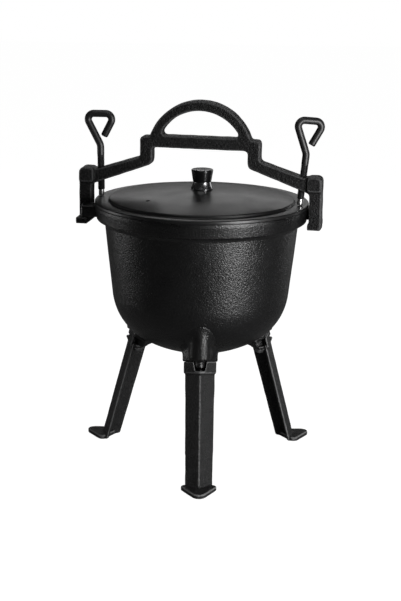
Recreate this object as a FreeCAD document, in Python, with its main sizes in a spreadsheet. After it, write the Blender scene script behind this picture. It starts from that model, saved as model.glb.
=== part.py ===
import FreeCAD, Part
import math
import os

from FreeCAD import Placement, Rotation, Vector

# A three-legged cast-iron kettle with a clamped lid. Millimetres, +Z up.
# The origin is on the floor, under the kettle's axis. One leg points to -Y.

sizes = {
    # pot
    "rim_radius": 145.0,
    "rim_top": 357.5,
    "rim_foot": 338.0,
    "rim_foot_radius": 142.5,
    "neck_radius": 130.6,
    "neck_height": 331.0,
    "waist_radius": 121.1,
    "waist_height": 242.7,
    "bowl_corner": 80.4,
    "dish_start": 61.0,
    "wall": 6.0,
    "ear_reach": 163.5,
    "ear_width": 24.0,
    "ear_base": 338.4,
    "ear_height": 15.8,
    # lid
    "lid_edge_top": 362.0,
    "lid_step_radius": 126.5,
    "lid_step_top": 365.5,
    "lid_crown": 377.3,
    "lid_wall": 4.5,
    "lid_rib_radius": 124.3,
    "lid_rib_depth": 5.0,
    "vent_radius": 3.0,
    "vent_reach": 92.0,
    "vent_bearing": 218.5,
    # knob
    "knob_top_radius": 15.1,
    "knob_neck_radius": 12.4,
    "knob_height": 16.8,
    "ferrule_height": 10.6,
    "ferrule_radius": 15.1,
    "knob_thread": 3.0,
    # yoke
    "yoke_bearing": 11.0,
    "yoke_slack_along": -2.0,
    "yoke_slack_across": -2.5,
    "yoke_thickness": 20.0,
    "bar_top": 447.6,
    "window_sill": 449.6,
    "bar_foot": 433.0,
    "drop_outer": 82.0,
    "drop_inner": 65.2,
    "arch_radius": 72.5,
    "arch_centre": 425.4,
    "arch_inner_radius": 61.0,
    "arch_inner_centre": 423.2,
    "claw_outer": 166.3,
    "claw_inner": 149.4,
    "claw_foot": 329.6,
    "claw_lip": 8.7,
    "lip_reach": 31.0,
    "lip_inset": 2.7,
    "lip_inner": 147.6,
    "arm_root": 82.0,
    "arm_root_top": 419.5,
    "arm_root_foot": 403.9,
    "arm_top_fall": 0.32,
    "arm_foot_fall": 0.37,
    "head_top": 402.2,
    "head_thickness": 26.0,
    "head_foot": 382.0,
    # clamp screws
    "screw_radius": 4.9,
    "screw_play": 0.06,
    "seat_left": 137.2,
    "seat_right": 135.7,
    "lean_left": 1.2,
    "lean_right": 5.8,
    "tip_radius": 3.9,
    "tip_length": 9.0,
    "spigot_radius": 2.0,
    "spigot_length": 4.0,
    "neck_rise": 70.0,
    "eye_rise_left": 112.6,
    "eye_rise_right": 114.8,
    "eye_half_left": 21.5,
    "eye_half_right": 20.2,
    "eye_end": 82.3,
    "eye_tail": 5.3,
    "eye_stop": 22.0,
    # legs
    "leg_splay": 16.3,
    "leg_foot_reach": 161.5,
    "leg_half_low": 19.8,
    "leg_half_high": 21.6,
    "leg_wall": 5.0,
    "collar_low": 157.8,
    "collar_high": 173.6,
    "collar_half": 23.6,
    "collar_proud": 3.9,
    "notch_depth": 12.6,
    "web_low": 154.0,
    "web_high": 160.0,
    "boss_depth": 44.0,
    "boss_height": 62.0,
    "boss_nose": 14.0,
    "rib_radius": 15.0,
    "rib_height": 54.0,
    "tip_foot": 165.0,
    "pad_thickness": 6.0,
    "pad_toe": 173.3,
    "pad_toe_radius": 9.8,
    "pad_heel": 149.2,
    "pad_heel_radius": 6.2,
    "pad_heel_half": 17.5,
    # leg bolts
    "bolt_radius": 4.0,
    "bolt_seat": 20.0,
    "bolt_head_flats": 13.0,
    "bolt_head_height": 5.3,
    "bolt_bite": 16.0,
    "washer_radius": 8.0,
    "washer_thickness": 1.6,
}

leg_bearings = {"front": -90.0, "right": 30.0, "left": 150.0}
# which way along the yoke each side lies, and how far its screw leans
sides = {"left": -1.0, "right": 1.0}

doc = FreeCAD.newDocument("kettle")
sheet = doc.addObject("Spreadsheet::Sheet", "Sizes")
for row, (alias, value) in enumerate(sizes.items(), start=1):
    sheet.set(f"A{row}", alias)
    sheet.set(f"B{row}", str(value))
    sheet.setAlias(f"B{row}", alias)
doc.recompute()

parts = {}
up = Vector(0, 0, 1)


def size(alias):
    return float(sheet.get(alias))


def bind(thing, **expressions):
    for name, expression in expressions.items():
        thing.setExpression(name, expression)


def rounded(corners, closed=True):
    """Edges through (x, y, radius) corners, each corner of some radius replaced by an arc."""
    points = [Vector(x, y, 0) for x, y, _ in corners]
    count = len(points)
    starts, ends, arcs = {}, {}, []
    for index, (_, _, radius) in enumerate(corners):
        here = points[index]
        starts[index] = ends[index] = here
        at_end = not closed and index in (0, count - 1)
        if radius <= 0 or at_end:
            continue
        back = (points[index - 1] - here).normalize()
        ahead = (points[(index + 1) % count] - here).normalize()
        half = back.getAngle(ahead) / 2
        reach = radius / math.tan(half)
        middle = here + (back + ahead).normalize() * (radius / math.sin(half) - radius)
        ends[index] = here + back * reach
        starts[index] = here + ahead * reach
        arcs.append(Part.Arc(ends[index], middle, starts[index]))
    last = count if closed else count - 1
    lines = []
    for index in range(last):
        begin, finish = starts[index], ends[(index + 1) % count]
        if (finish - begin).Length > 1e-6:
            lines.append(Part.LineSegment(begin, finish))
    return lines + arcs


def plane_of(body, role):
    return next(item for item in body.Origin.OriginFeatures if item.Role == role)


def sketch_on(body, name, role, edges, offset=None):
    sketch = body.newObject("Sketcher::SketchObject", name)
    sketch.AttachmentSupport = [(plane_of(body, role), "")]
    sketch.MapMode = "FlatFace"
    if offset is not None:
        sketch.AttachmentOffset = offset
    for edge in edges:
        sketch.addGeometry(edge, False)
    return sketch


def turned(name, edges):
    """A body turned about Z from a closed outline in the XZ plane."""
    body = doc.addObject("PartDesign::Body", name)
    sketch = sketch_on(body, f"{name}_outline", "XZ_Plane", edges)
    spin = body.newObject("PartDesign::Revolution", f"{name}_turn")
    spin.Profile = sketch
    spin.ReferenceAxis = (sketch, ["V_Axis"])
    spin.Angle = 360.0
    return body


def padded(name, role, edges, length, both_ways=False, start=0.0):
    """A body padded from a closed outline; length is an expression on the sheet."""
    body = doc.addObject("PartDesign::Body", name)
    offset = Placement(Vector(0, 0, start), Rotation())
    sketch = sketch_on(body, f"{name}_outline", role, edges, offset)
    pad = body.newObject("PartDesign::Pad", f"{name}_pad")
    pad.Profile = sketch
    pad.Midplane = both_ways
    bind(pad, Length=length)
    return body


def cylinder(name, radius, height, placement=None):
    made = doc.addObject("Part::Cylinder", name)
    bind(made, Radius=radius, Height=height)
    if placement is not None:
        made.Placement = placement
    return made


def joined(name, shapes):
    made = doc.addObject("Part::MultiFuse", name)
    made.Shapes = shapes
    return made


def cut(name, base, tool):
    made = doc.addObject("Part::Cut", name)
    made.Base = base
    made.Tool = tool
    return made


def keep(node, thing):
    thing.Label = node
    parts[node] = thing


def three_point(start, middle, end):
    return Part.Arc(Vector(*start, 0), Vector(*middle, 0), Vector(*end, 0))


def line(start, end):
    return Part.LineSegment(Vector(*start, 0), Vector(*end, 0))


# ---------------------------------------------------------------- pot


def bowl_outline(inset, top):
    """The bowl's half outline: straight tapered wall, round corner, shallow dish."""
    corner = size("bowl_corner")
    centre_x = size("waist_radius") - corner
    centre_z = size("waist_height")
    turn = math.radians(size("dish_start"))
    dish = (centre_x + corner * math.cos(turn)) / math.cos(turn)
    dish_top = centre_z - corner * math.sin(turn) + dish * math.sin(turn)

    def on_corner(angle):
        reach = corner - inset
        return (centre_x + reach * math.cos(angle), centre_z - reach * math.sin(angle))

    def on_dish(angle):
        reach = dish - inset
        return (reach * math.cos(angle), dish_top - reach * math.sin(angle))

    slope = math.atan2(size("neck_radius") - size("waist_radius"), size("neck_height") - centre_z)
    wall_low = on_corner(slope)
    rise = top - wall_low[1]
    wall_high = (wall_low[0] + rise * math.tan(slope), top)
    bottom = on_dish(math.pi / 2)
    edges = [
        three_point(bottom, on_dish((turn + math.pi / 2) / 2), on_dish(turn)),
        three_point(on_corner(turn), on_corner((turn + slope) / 2), wall_low),
        line(wall_low, wall_high),
    ]
    return edges, bottom, wall_high


def make_pot():
    edges, bottom, neck = bowl_outline(0.0, size("neck_height"))
    rim, foot = size("rim_radius"), size("rim_foot_radius")
    low, top = size("rim_foot"), size("rim_top")
    bead = neck[0] + 2.2
    edges += [
        three_point(neck, (bead - 0.6, neck[1] + 1.6), (bead, neck[1] + 4.0)),
        line((bead, neck[1] + 4.0), (foot - 3.0, low - 1.0)),
        three_point((foot - 3.0, low - 1.0), (foot - 0.8, low - 0.1), (foot, low + 2.0)),
        line((foot, low + 2.0), (rim, top - 1.2)),
        line((rim, top - 1.2), (rim - 1.2, top)),
        line((rim - 1.2, top), (0, top)),
        line((0, top), bottom),
    ]
    outside = turned("pot_outside", edges)

    inner_top = size("rim_top") + 4.0
    edges, bottom, mouth = bowl_outline(size("wall"), size("neck_height"))
    edges += [
        line(mouth, (mouth[0], inner_top)),
        line((mouth[0], inner_top), (0, inner_top)),
        line((0, inner_top), bottom),
    ]
    inside = turned("pot_inside", edges)

    lumps = [outside]
    for side, sign in sides.items():
        half = size("ear_width") / 2
        reach = size("ear_reach") * sign
        root = (size("rim_radius") - 8.0) * sign
        outline = rounded([(root, -half, 0), (reach, -half, 4), (reach, half, 4), (root, half, 0)])
        lumps.append(
            padded(f"ear_{side}", "XY_Plane", outline, "Sizes.ear_height", start=size("ear_base"))
        )
    drills = []
    for place, bearing in leg_bearings.items():
        boss, drill = make_boss(place, bearing)
        lumps += boss
        drills.append(drill)
    solid = joined("pot_solid", lumps)
    hollow = cut("pot_hollow", solid, inside)
    drilled = cut("kettle_body", hollow, joined("boss_drills", drills))
    keep("kettle_body", drilled)


# ---------------------------------------------------------------- legs


def leg_place(bearing, along=0.0, inward=0.0):
    """The leg's own frame: origin where its ridge meets the floor, Z up along the leg."""
    tilt = Placement(
        Vector(size("leg_foot_reach"), 0, 0), Rotation(Vector(0, 1, 0), -size("leg_splay"))
    )
    spot = Placement(Vector(-inward, 0, along), Rotation())
    return Placement(Vector(), Rotation(up, bearing)) * tilt * spot


def angle_outline(nose, half, thick, nose_round=2.5):
    """An equal angle seen from above, its ridge at +X, both walls at 45 degrees."""
    slant = thick * math.sqrt(2)
    return rounded(
        [
            (nose, 0, nose_round),
            (nose - half, half, 1.0),
            (nose - half, half - slant, 1.0),
            (nose - slant, 0, 1.5),
            (nose - half, slant - half, 1.0),
            (nose - half, -half, 1.0),
        ]
    )


def wedge_outline(nose, half, depth, nose_round):
    """A solid five-sided section that fills an angle from the inside."""
    return rounded(
        [
            (nose, 0, nose_round),
            (nose - half, half, 2.0),
            (nose - depth, half, 2.0),
            (nose - depth, -half, 2.0),
            (nose - half, -half, 2.0),
        ]
    )


def make_boss(place, bearing):
    """The cast lug that a leg hangs on: a shouldered block and the tongue inside the angle."""
    block = padded(
        f"boss_block_{place}",
        "XY_Plane",
        wedge_outline(size("collar_proud"), size("collar_half"), size("boss_depth"), size("boss_nose")),
        "Sizes.boss_height",
        start=size("collar_high"),
    )
    tongue = padded(
        f"boss_tongue_{place}",
        "XY_Plane",
        wedge_outline(-size("leg_wall") * math.sqrt(2) - 0.6, 14.5, 26.0, 4.0),
        "Sizes.collar_high - Sizes.web_high + 2",
        start=size("web_high"),
    )
    # the rounded tip that hangs into the collar's notch
    tip = padded(
        f"boss_tip_{place}",
        "XY_Plane",
        wedge_outline(size("collar_proud") - 0.9, 6.2, 15.0, 4.5),
        "Sizes.collar_high - Sizes.tip_foot + 2",
        start=size("tip_foot"),
    )
    for piece in (block, tongue, tip):
        piece.Placement = leg_place(bearing)
    # above the collar the lug stands upright, and runs into the bowl's side as a round rib
    splay = math.radians(size("leg_splay"))
    front = (
        size("leg_foot_reach")
        - size("collar_high") * math.sin(splay)
        + size("collar_proud") * math.cos(splay)
    )
    foot = size("collar_high") * math.cos(splay) + size("collar_proud") * math.sin(splay)
    rib = cylinder(
        f"boss_rib_{place}",
        "Sizes.rib_radius",
        "Sizes.rib_height",
        Placement(Vector(), Rotation(up, bearing))
        * Placement(Vector(front - 0.2 - size("rib_radius"), 0, foot + 0.1), Rotation()),
    )
    drill = cylinder(
        f"boss_drill_{place}",
        "Sizes.bolt_radius + 0.05",
        "Sizes.bolt_bite + 3",
        leg_place(bearing, size("web_high") - 1.0, size("bolt_seat")),
    )
    return [block, tongue, tip, rib], drill


def pad_outline():
    """The foot's plan: the outline round one toe circle and two heel circles."""
    toe_x, toe_r = size("pad_toe"), size("pad_toe_radius")
    heel_x, heel_r, heel_y = size("pad_heel"), size("pad_heel_radius"), size("pad_heel_half")
    run = math.hypot(toe_x - heel_x, heel_y)
    slope = math.atan2(-heel_y, toe_x - heel_x)
    lean = slope + math.acos((heel_r - toe_r) / run)

    def on(centre, radius, angle):
        return (centre[0] + radius * math.cos(angle), centre[1] + radius * math.sin(angle))

    toe, heel, other = (toe_x, 0), (heel_x, heel_y), (heel_x, -heel_y)
    back = math.pi
    return [
        three_point(on(toe, toe_r, lean), on(toe, toe_r, 0), on(toe, toe_r, -lean)),
        line(on(toe, toe_r, -lean), on(other, heel_r, -lean)),
        three_point(
            on(other, heel_r, -lean), on(other, heel_r, -(lean + back) / 2), on(other, heel_r, back)
        ),
        line(on(other, heel_r, back), on(heel, heel_r, back)),
        three_point(
            on(heel, heel_r, back), on(heel, heel_r, (lean + back) / 2), on(heel, heel_r, lean)
        ),
        line(on(heel, heel_r, lean), on(toe, toe_r, lean)),
    ]


def make_leg(place, bearing):
    shank = doc.addObject("PartDesign::Body", f"leg_shank_{place}")
    low = sketch_on(
        shank,
        f"leg_low_{place}",
        "XY_Plane",
        angle_outline(0, size("leg_half_low"), size("leg_wall")),
    )
    high = sketch_on(
        shank,
        f"leg_high_{place}",
        "XY_Plane",
        angle_outline(0, size("leg_half_high"), size("leg_wall")),
        Placement(Vector(0, 0, size("collar_low") + 4.0), Rotation()),
    )
    loft = shank.newObject("PartDesign::AdditiveLoft", f"leg_loft_{place}")
    loft.Profile = low
    loft.Sections = [high]

    proud = size("collar_proud")
    collar = padded(
        f"leg_collar_{place}",
        "XY_Plane",
        angle_outline(proud, size("collar_half"), size("leg_wall") + proud / math.sqrt(2)),
        "Sizes.collar_high - Sizes.collar_low",
        start=size("collar_low"),
    )
    # the collar's notch, wider at its mouth, shows the boss's rounded end
    mouth, floor = 8.9, 6.4
    deep = size("notch_depth")
    top = size("collar_high")
    notch = padded(
        f"leg_notch_{place}",
        "YZ_Plane",
        rounded([(-mouth, top + 1, 0), (-floor, top - deep, 2), (floor, top - deep, 2), (mouth, top + 1, 0)]),
        "40",
        both_ways=True,
    )
    web = padded(
        f"leg_web_{place}",
        "XY_Plane",
        rounded([(-6.4, 0, 0), (-23.0, 16.6, 0), (-28.0, 12.0, 3), (-28.0, -12.0, 3), (-23.0, -16.6, 0)]),
        "Sizes.web_high - Sizes.web_low",
        start=size("web_low"),
    )
    notched = cut(f"leg_notched_{place}", joined(f"leg_top_{place}", [shank, collar]), notch)
    upper = joined(f"leg_upper_{place}", [notched, web])
    upper.Placement = leg_place(0)
    room = doc.addObject("Part::Box", f"leg_room_{place}")
    bind(room, Height="Sizes.rim_top", Length="Sizes.rim_radius * 2", Width="Sizes.rim_radius")
    room.Placement = Placement(Vector(0, -size("rim_radius") / 2, 0), Rotation())
    standing = doc.addObject("Part::Common", f"leg_standing_{place}")
    standing.Base = upper
    standing.Tool = room
    pad = padded(f"leg_pad_{place}", "XY_Plane", pad_outline(), "Sizes.pad_thickness")
    drill = cylinder(
        f"leg_drill_{place}",
        "Sizes.bolt_radius + 0.4",
        "Sizes.web_high - Sizes.web_low + 2",
        leg_place(0, size("web_low") - 1.0, size("bolt_seat")),
    )
    leg = cut(f"leg_{place}", joined(f"leg_whole_{place}", [standing, pad]), drill)
    leg.Placement = Placement(Vector(), Rotation(up, bearing))
    keep(f"leg_{place}", leg)


def make_leg_bolt(place, bearing):
    seat = size("bolt_seat")
    washer_low = size("web_low") - size("washer_thickness")
    ring = cylinder(f"washer_disc_{place}", "Sizes.washer_radius", "Sizes.washer_thickness")
    eye = cylinder(
        f"washer_eye_{place}",
        "Sizes.bolt_radius + 0.3",
        "Sizes.washer_thickness + 2",
        Placement(Vector(0, 0, -1), Rotation()),
    )
    washer = cut(f"leg_washer_{place}", ring, eye)
    washer.Placement = leg_place(bearing, washer_low, seat)
    keep(f"leg_washer_{place}", washer)

    head = doc.addObject("Part::Prism", f"bolt_head_{place}")
    head.Polygon = 6
    bind(head, Circumradius="Sizes.bolt_head_flats / sqrt(3)", Height="Sizes.bolt_head_height")
    head.Placement = Placement(Vector(0, 0, -size("bolt_head_height")), Rotation())
    shank = cylinder(
        f"bolt_shank_{place}",
        "Sizes.bolt_radius",
        "Sizes.washer_thickness + Sizes.web_high - Sizes.web_low + Sizes.bolt_bite",
    )
    bolt = joined(f"leg_bolt_{place}", [head, shank])
    bolt.Placement = leg_place(bearing, washer_low, seat)
    keep(f"leg_bolt_{place}", bolt)


# ---------------------------------------------------------------- lid and knob


def crown_height(reach, drop=0.0):
    """The lid's domed top, as a parabola from its crown to its step."""
    rise = size("lid_crown") - size("lid_step_top")
    edge = size("lid_step_radius") - 3.0
    return size("lid_crown") - drop - rise * (reach / edge) ** 2


def make_lid():
    rim, seat = size("rim_radius"), size("rim_top")
    edge_top, step = size("lid_edge_top"), size("lid_step_radius")
    wall, rib = size("lid_wall"), size("lid_rib_radius")
    inner_edge = rib - 4.0
    mid = step / 2
    shoulder = step - 3.0
    edges = [
        three_point((0, crown_height(0)), (mid, crown_height(mid)), (shoulder, crown_height(shoulder))),
        three_point(
            (shoulder, crown_height(shoulder)), (step - 0.7, edge_top + 2.6), (step, edge_top + 1.0)
        ),
        three_point((step, edge_top + 1.0), (step + 0.3, edge_top + 0.3), (step + 1.0, edge_top)),
        line((step + 1.0, edge_top), (rim - 2.0, edge_top)),
        three_point((rim - 2.0, edge_top), (rim - 0.6, edge_top - 0.6), (rim, edge_top - 2.0)),
        line((rim, edge_top - 2.0), (rim, seat)),
        line((rim, seat), (rib, seat)),
        line((rib, seat), (rib - 0.6, seat - size("lid_rib_depth"))),
        line((rib - 0.6, seat - size("lid_rib_depth")), (inner_edge, seat - size("lid_rib_depth"))),
        line((inner_edge, seat - size("lid_rib_depth")), (inner_edge, crown_height(inner_edge, wall))),
        three_point(
            (inner_edge, crown_height(inner_edge, wall)), (mid, crown_height(mid, wall)),
            (0, crown_height(0, wall)),
        ),
        line((0, crown_height(0, wall)), (0, crown_height(0))),
    ]
    cover = turned("lid_cover", edges)
    bearing = math.radians(size("vent_bearing"))
    reach = size("vent_reach")
    vent = cylinder(
        "lid_vent",
        "Sizes.vent_radius",
        "30",
        Placement(Vector(reach * math.cos(bearing), reach * math.sin(bearing), 355), Rotation()),
    )
    eye = cylinder(
        "lid_eye", "Sizes.knob_thread + 0.3", "30", Placement(Vector(0, 0, 355), Rotation())
    )
    keep("lid", cut("lid", cover, joined("lid_drills", [vent, eye])))


def make_knob():
    foot = size("lid_crown")
    joint = foot + size("ferrule_height")
    top = joint + size("knob_height")
    bore = size("knob_thread")
    narrow, wide, flare = size("knob_neck_radius"), size("knob_top_radius"), size("ferrule_radius")
    hole = bore + 0.3
    keep(
        "knob_ferrule",
        turned(
            "knob_ferrule",
            [
                line((hole, foot), (flare - 0.8, foot)),
                three_point((flare - 0.8, foot), (flare - 0.2, foot + 0.3), (flare, foot + 1.0)),
                three_point((flare, foot + 1.0), (narrow + 0.7, foot + 5.8), (narrow - 0.4, joint)),
                line((narrow - 0.4, joint), (hole, joint)),
                line((hole, joint), (hole, foot)),
            ],
        ),
    )
    thread_top = joint + 11.0
    keep(
        "knob",
        turned(
            "knob",
            [
                line((bore + 0.05, joint), (narrow - 0.6, joint)),
                line((narrow - 0.6, joint), (narrow, joint + 0.8)),
                line((narrow, joint + 0.8), (wide, top - 2.0)),
                three_point((wide, top - 2.0), (wide - 0.5, top - 0.5), (wide - 2.0, top)),
                line((wide - 2.0, top), (0, top)),
                line((0, top), (0, thread_top)),
                line((0, thread_top), (bore + 0.05, thread_top)),
                line((bore + 0.05, thread_top), (bore + 0.05, joint)),
            ],
        ),
    )
    under = crown_height(0, size("lid_wall"))
    # the dome falls away under the washer, so it bears on its inner edge
    washer_top = under - 0.05
    washer_low = washer_top - 1.4
    plate = cylinder("knob_washer_disc", "Sizes.knob_thread * 2.3", "1.4")
    eye = cylinder(
        "knob_washer_eye", "Sizes.knob_thread + 0.25", "4", Placement(Vector(0, 0, -1), Rotation())
    )
    washer = cut("knob_washer", plate, eye)
    washer.Placement = Placement(Vector(0, 0, washer_low), Rotation())
    keep("knob_washer", washer)
    head = cylinder(
        "knob_screw_head", "Sizes.knob_thread * 1.8", "3.6", Placement(Vector(0, 0, -3.6), Rotation())
    )
    shank = cylinder("knob_screw_shank", "Sizes.knob_thread", f"{thread_top - 1.0 - washer_low}")
    screw = joined("knob_screw", [head, shank])
    screw.Placement = Placement(Vector(0, 0, washer_low), Rotation())
    keep("knob_screw", screw)


# ---------------------------------------------------------------- yoke


def arm_top(reach):
    return size("arm_root_top") - size("arm_top_fall") * (reach - size("arm_root"))


def arm_foot(reach):
    return size("arm_root_foot") - size("arm_foot_fall") * (reach - size("arm_root"))


def make_yoke():
    bar_top, bar_foot = size("bar_top"), size("bar_foot")
    outer, inner = size("drop_outer"), size("drop_inner")
    claw_out, claw_in, foot = size("claw_outer"), size("claw_inner"), size("claw_foot")
    arch, arch_z = size("arch_radius"), size("arch_centre")
    arch_foot = math.sqrt(arch**2 - (bar_top - arch_z) ** 2)
    half = [
        (outer, bar_top, 5),
        (outer, arm_top(outer), 5),
        (141.0, arm_top(141.0), 4),
        (156.0, size("head_top"), 5),
        (claw_out, size("head_top"), 7),
        (claw_out, foot, 2.5),
        (claw_in, foot, 2),
        (claw_in, arm_foot(claw_in), 5),
        (inner, arm_foot(inner), 8),
        (inner, bar_foot, 5),
    ]
    mirrored = [(-x, z, r) for x, z, r in reversed(half)]
    outline = rounded([(arch_foot, bar_top, 0)] + half + mirrored + [(-arch_foot, bar_top, 0)])
    # the last straight edge runs under the arch, which replaces it
    closing = [
        edge
        for edge in outline
        if isinstance(edge, Part.LineSegment)
        and abs(edge.StartPoint.x + arch_foot) < 1e-6
        and abs(edge.EndPoint.x - arch_foot) < 1e-6
    ]
    outline = [edge for edge in outline if edge not in closing]
    outline.append(three_point((-arch_foot, bar_top), (0, arch_z + arch), (arch_foot, bar_top)))
    grip, grip_z = size("arch_inner_radius"), size("arch_inner_centre")
    sill, turn = size("window_sill"), 6.0
    spring = sill + turn
    corner = math.sqrt(grip**2 - (spring - grip_z) ** 2)
    window = [
        three_point((-corner, spring), (0, grip_z + grip), (corner, spring)),
        three_point((corner, spring), (corner - 1.2, sill + 1.4), (corner - turn, sill)),
        line((corner - turn, sill), (turn - corner, sill)),
        three_point((turn - corner, sill), (1.2 - corner, sill + 1.4), (-corner, spring)),
    ]
    frame = padded("yoke_frame", "XZ_Plane", outline + window, "Sizes.yoke_thickness", both_ways=True)
    lumps = [frame]
    drills = []
    for side, sign in sides.items():
        low, high = size("head_foot"), size("head_top")
        head = padded(
            f"yoke_head_{side}",
            "XZ_Plane",
            rounded(
                [
                    (sign * (claw_in - 3.0), low, 3),
                    (sign * claw_out, low, 2),
                    (sign * claw_out, high, 7),
                    (sign * (claw_in - 3.0), high, 4),
                ]
            ),
            "Sizes.head_thickness",
            both_ways=True,
        )
        lip = doc.addObject("Part::Box", f"yoke_lip_{side}")
        bind(
            lip,
            Length="Sizes.claw_outer - Sizes.lip_inner - Sizes.lip_inset",
            Width="Sizes.lip_reach + Sizes.yoke_thickness",
            Height="Sizes.claw_lip",
        )
        half_thick = size("yoke_thickness") / 2
        if sign < 0:
            corner_at = Vector(size("lip_inset") - claw_out, -half_thick - size("lip_reach"), foot)
        else:
            corner_at = Vector(size("lip_inner"), -half_thick, foot)
        lip.Placement = Placement(corner_at, Rotation())
        lumps += [head, lip]
        bore = screw_place(side)
        drills.append(
            cylinder(f"yoke_drill_{side}", "Sizes.screw_radius + Sizes.screw_play", "80", bore)
        )
    yoke = cut("yoke", joined("yoke_solid", lumps), joined("yoke_drills", drills))
    yoke.Placement = yoke_place()
    keep("yoke", yoke)


# ---------------------------------------------------------------- clamp screws


def yoke_place():
    """The yoke's own frame: X along its bar, a little off the kettle's axis as its hooks allow."""
    slack = Vector(size("yoke_slack_along"), size("yoke_slack_across"), 0)
    turn = Placement(Vector(), Rotation(up, -size("yoke_bearing")))
    return turn * Placement(slack, Rotation())


def screw_place(side):
    """The screw's frame in the yoke: origin where its tip meets the lid, Z up along its axis."""
    sign = sides[side]
    lean = size(f"lean_{side}")
    foot = Vector(sign * size(f"seat_{side}"), 0, size("lid_edge_top"))
    return Placement(foot, Rotation(Vector(0, 1, 0), sign * lean))


def make_screw(side):
    radius = size("screw_radius")
    start = size("tip_length") + 0.1
    neck, eye, half = size("neck_rise"), size(f"eye_rise_{side}"), size(f"eye_half_{side}")
    bends = [(0, start, 0), (0, neck, 14), (-half, eye, 8), (half, eye, 8), (size("eye_tail"), size("eye_end"), 0)]
    route = rounded(bends, closed=False)
    stand = Rotation(Vector(1, 0, 0), 90)
    edges = [edge.toShape() for edge in route]
    path = Part.Wire(Part.__sortEdges__(edges))
    path.Placement = Placement(Vector(), stand)
    section = Part.Wire(Part.Circle(Vector(0, 0, start), up, radius).toShape())
    shape = path.makePipeShell([section], True, True)
    rod = doc.addObject("Part::Feature", f"screw_rod_{side}")
    rod.Shape = shape
    spigot = cylinder(
        f"screw_spigot_{side}",
        "Sizes.spigot_radius",
        "Sizes.spigot_length + 1",
        Placement(Vector(0, 0, start - size("spigot_length")), Rotation()),
    )
    screw = joined(f"clamp_screw_{side}", [rod, spigot])
    stop = size("eye_stop") if side == "right" else 0.0
    screw.Placement = yoke_place() * screw_place(side) * Placement(Vector(), Rotation(up, stop))
    keep(f"clamp_screw_{side}", screw)

    tip_r, length = size("tip_radius"), size("tip_length")
    socket = size("spigot_radius") + 0.06
    deep = length - size("spigot_length") - 0.3
    tip = turned(
        f"screw_tip_{side}",
        [
            three_point((0, 0.06), (tip_r * 0.6, 0.43), (tip_r - 0.3, 0.92)),
            line((tip_r - 0.3, 0.92), (tip_r, 1.6)),
            line((tip_r, 1.6), (tip_r, length)),
            line((tip_r, length), (socket, length)),
            line((socket, length), (socket, deep)),
            line((socket, deep), (0, deep)),
            line((0, deep), (0, 0.06)),
        ],
    )
    tip.Placement = yoke_place() * screw_place(side)
    keep(f"screw_tip_{side}", tip)


make_pot()
for place, bearing in leg_bearings.items():
    make_leg(place, bearing)
    make_leg_bolt(place, bearing)
make_lid()
make_knob()
make_yoke()
for side in sides:
    make_screw(side)
doc.recompute()

for thing in doc.Objects:
    if "Invalid" in thing.State or "Error" in thing.State:
        raise RuntimeError(f"{thing.Name} failed: {thing.State}")
os.makedirs("parts", exist_ok=True)
for node, thing in parts.items():
    shape = thing.Shape
    if shape.isNull() or not shape.isValid():
        raise RuntimeError(f"{node} has no valid shape")
    shape.exportStep(f"parts/{node}.step")
    print(node, "solids", len(shape.Solids), "volume", round(shape.Volume / 1000, 1), "cm3")
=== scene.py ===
import math

import bmesh
import bpy
import numpy as np
from mathutils import Matrix, Vector, noise


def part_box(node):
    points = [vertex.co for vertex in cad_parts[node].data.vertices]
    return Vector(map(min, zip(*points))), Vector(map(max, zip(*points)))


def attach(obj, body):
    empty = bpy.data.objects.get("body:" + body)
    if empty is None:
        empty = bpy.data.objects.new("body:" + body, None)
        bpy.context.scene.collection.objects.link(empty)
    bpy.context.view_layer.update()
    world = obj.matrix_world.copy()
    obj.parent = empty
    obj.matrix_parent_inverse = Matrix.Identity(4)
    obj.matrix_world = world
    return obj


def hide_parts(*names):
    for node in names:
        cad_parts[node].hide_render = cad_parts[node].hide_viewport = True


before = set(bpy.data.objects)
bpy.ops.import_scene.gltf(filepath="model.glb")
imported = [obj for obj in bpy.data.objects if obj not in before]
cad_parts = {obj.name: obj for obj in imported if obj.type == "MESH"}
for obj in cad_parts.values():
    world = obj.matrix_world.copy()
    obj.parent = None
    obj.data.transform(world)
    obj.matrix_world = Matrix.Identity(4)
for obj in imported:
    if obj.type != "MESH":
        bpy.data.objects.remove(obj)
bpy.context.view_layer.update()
scene = bpy.context.scene
mm = 0.001
print("frame loaded:", len(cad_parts), "cast and turned nodes")


# shader maths: a Wire is one output of a node, and sums or products of it add the nodes

class Wire:
    def __init__(self, finish, socket):
        self.finish = finish
        self.socket = socket

    def maths(self, operation, first, second):
        kinds = [w.socket.type for w in (first, second) if isinstance(w, Wire)]
        if "RGBA" in kinds:
            sides = [w if isinstance(w, (Wire, tuple)) else (w, w, w, 1.0) for w in (first, second)]
            return self.finish.node(
                "ShaderNodeMix", {"data_type": "RGBA", "blend_type": operation},
                {0: 1.0, 6: sides[0], 7: sides[1]}, 2)
        if "VECTOR" in kinds:
            sides = [w if isinstance(w, (Wire, tuple)) else (w, w, w) for w in (first, second)]
            return self.finish.node(
                "ShaderNodeVectorMath", {"operation": operation}, {0: sides[0], 1: sides[1]})
        return self.finish.node("ShaderNodeMath", {"operation": operation}, {0: first, 1: second})

    def __add__(self, other):
        return self.maths("ADD", self, other)

    def __radd__(self, other):
        return self.maths("ADD", other, self)

    def __sub__(self, other):
        return self.maths("SUBTRACT", self, other)

    def __rsub__(self, other):
        return self.maths("SUBTRACT", other, self)

    def __mul__(self, other):
        return self.maths("MULTIPLY", self, other)

    def __rmul__(self, other):
        return self.maths("MULTIPLY", other, self)


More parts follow.
